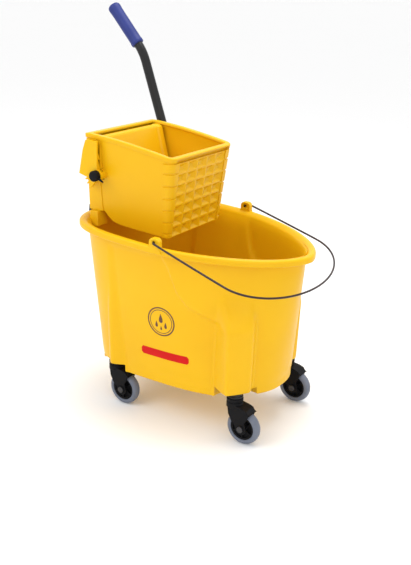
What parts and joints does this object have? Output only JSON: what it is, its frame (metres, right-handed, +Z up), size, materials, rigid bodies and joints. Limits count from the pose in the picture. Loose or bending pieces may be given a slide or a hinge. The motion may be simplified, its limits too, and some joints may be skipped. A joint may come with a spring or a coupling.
{
  "type": "mop bucket with wringer",
  "caption": "Oval mop bucket on swivel casters with a wire bail and a lift-off side-press wringer worked by a lever handle through sector gears.",
  "frame": {"origin": "on the floor, under the middle of the whole object's box", "axes": "+X towards the open front end of the bucket, +Y towards the side with the lever handle, +Z up"},
  "size_m": [0.6673, 0.4141, 0.8876],
  "materials": {
    "yellow_shell": "warm yellow moulded polypropylene, semi-gloss with a fine moulded grain",
    "black_nylon": "black moulded nylon, satin",
    "caster_steel": "black zinc-coated steel, satin",
    "tyre_grey": "blue-grey thermoplastic rubber, smooth tread",
    "grip_blue": "blue vinyl grip, soft satin",
    "tube_black": "black powder-coated steel tube, satin",
    "bail_wire": "dark brown coated steel wire",
    "zinc": "bright zinc-plated steel"
  },
  "bodies": {
    "bucket": {"bucket_shell": "yellow_shell", "caster_stem_front_left": "caster_steel", "caster_stem_front_right": "caster_steel", "caster_stem_rear_left": "caster_steel", "caster_stem_rear_right": "caster_steel"},
    "bail": {"bail_handle": "bail_wire"},
    "swivel_front_left": {"caster_fork_front_left": "black_nylon", "caster_axle_front_left": "zinc"},
    "wheel_front_left": {"wheel_hub_front_left": "black_nylon", "tyre_front_left": "tyre_grey"},
    "swivel_front_right": {"caster_fork_front_right": "black_nylon", "caster_axle_front_right": "zinc"},
    "wheel_front_right": {"wheel_hub_front_right": "black_nylon", "tyre_front_right": "tyre_grey"},
    "swivel_rear_left": {"caster_fork_rear_left": "black_nylon", "caster_axle_rear_left": "zinc"},
    "wheel_rear_left": {"wheel_hub_rear_left": "black_nylon", "tyre_rear_left": "tyre_grey"},
    "swivel_rear_right": {"caster_fork_rear_right": "black_nylon", "caster_axle_rear_right": "zinc"},
    "wheel_rear_right": {"wheel_hub_rear_right": "black_nylon", "tyre_rear_right": "tyre_grey"},
    "wringer": {"wringer_housing": "yellow_shell", "rear_cover": "yellow_shell", "rim_hook_left": "caster_steel", "rim_hook_right": "caster_steel", "gear_cover_left": "yellow_shell", "gear_cover_right": "yellow_shell", "shaft_bush_left": "black_nylon", "shaft_bush_right": "black_nylon", "return_spring_left": "zinc", "return_spring_right": "zinc"},
    "plate": {"pressure_plate": "yellow_shell", "plate_shaft": "zinc", "plate_gear_left": "yellow_shell", "plate_gear_right": "yellow_shell"},
    "handle": {"drive_shaft": "zinc", "drive_gear_left": "yellow_shell", "drive_gear_right": "yellow_shell", "shaft_end_cap": "black_nylon", "handle_socket": "tube_black", "handle_tube": "tube_black", "handle_grip": "grip_blue", "socket_bolt": "zinc"}
  },
  "joints": [
    {"name": "bail_swing", "type": "hinge", "parent": "bucket", "child": "bail", "pos_m": [0.04815, 0, 0.43], "axis": [0, 1, 0], "range_deg": [-148, 16]},
    {"name": "swivel_front_left", "type": "hinge", "parent": "bucket", "child": "swivel_front_left", "pos_m": [0.21115, 0.12, 0.06], "axis": [0, 0, 1], "continuous": true},
    {"name": "roll_front_left", "type": "hinge", "parent": "swivel_front_left", "child": "wheel_front_left", "pos_m": [0.23515, 0.12, 0.038], "axis": [0, 1, 0], "continuous": true},
    {"name": "swivel_front_right", "type": "hinge", "parent": "bucket", "child": "swivel_front_right", "pos_m": [0.21115, -0.12, 0.06], "axis": [0, 0, 1], "continuous": true},
    {"name": "roll_front_right", "type": "hinge", "parent": "swivel_front_right", "child": "wheel_front_right", "pos_m": [0.23515, -0.12, 0.038], "axis": [0, 1, 0], "continuous": true},
    {"name": "swivel_rear_left", "type": "hinge", "parent": "bucket", "child": "swivel_rear_left", "pos_m": [-0.10485, 0.12, 0.06], "axis": [0, 0, 1], "continuous": true},
    {"name": "roll_rear_left", "type": "hinge", "parent": "swivel_rear_left", "child": "wheel_rear_left", "pos_m": [-0.08085, 0.12, 0.038], "axis": [0, 1, 0], "continuous": true},
    {"name": "swivel_rear_right", "type": "hinge", "parent": "bucket", "child": "swivel_rear_right", "pos_m": [-0.10485, -0.12, 0.06], "axis": [0, 0, 1], "continuous": true},
    {"name": "roll_rear_right", "type": "hinge", "parent": "swivel_rear_right", "child": "wheel_rear_right", "pos_m": [-0.08085, -0.12, 0.038], "axis": [0, 1, 0], "continuous": true},
    {"name": "wringer_lift", "type": "slide", "parent": "bucket", "child": "wringer", "axis": [0, 0, 1], "range_m": [0, 0.25]},
    {"name": "handle_turn", "type": "hinge", "parent": "wringer", "child": "handle", "pos_m": [-0.14825, 0, 0.5322], "axis": [0, 1, 0], "range_deg": [0, 30]},
    {"name": "plate_swing", "type": "hinge", "parent": "wringer", "child": "plate", "pos_m": [-0.16156, 0, 0.5948], "axis": [0, 1, 0], "range_deg": [-37, 0.5]}
  ],
  "couplings": [
    {"joint": "plate_swing", "follows": "handle_turn", "ratio": -1.2222}
  ]
}
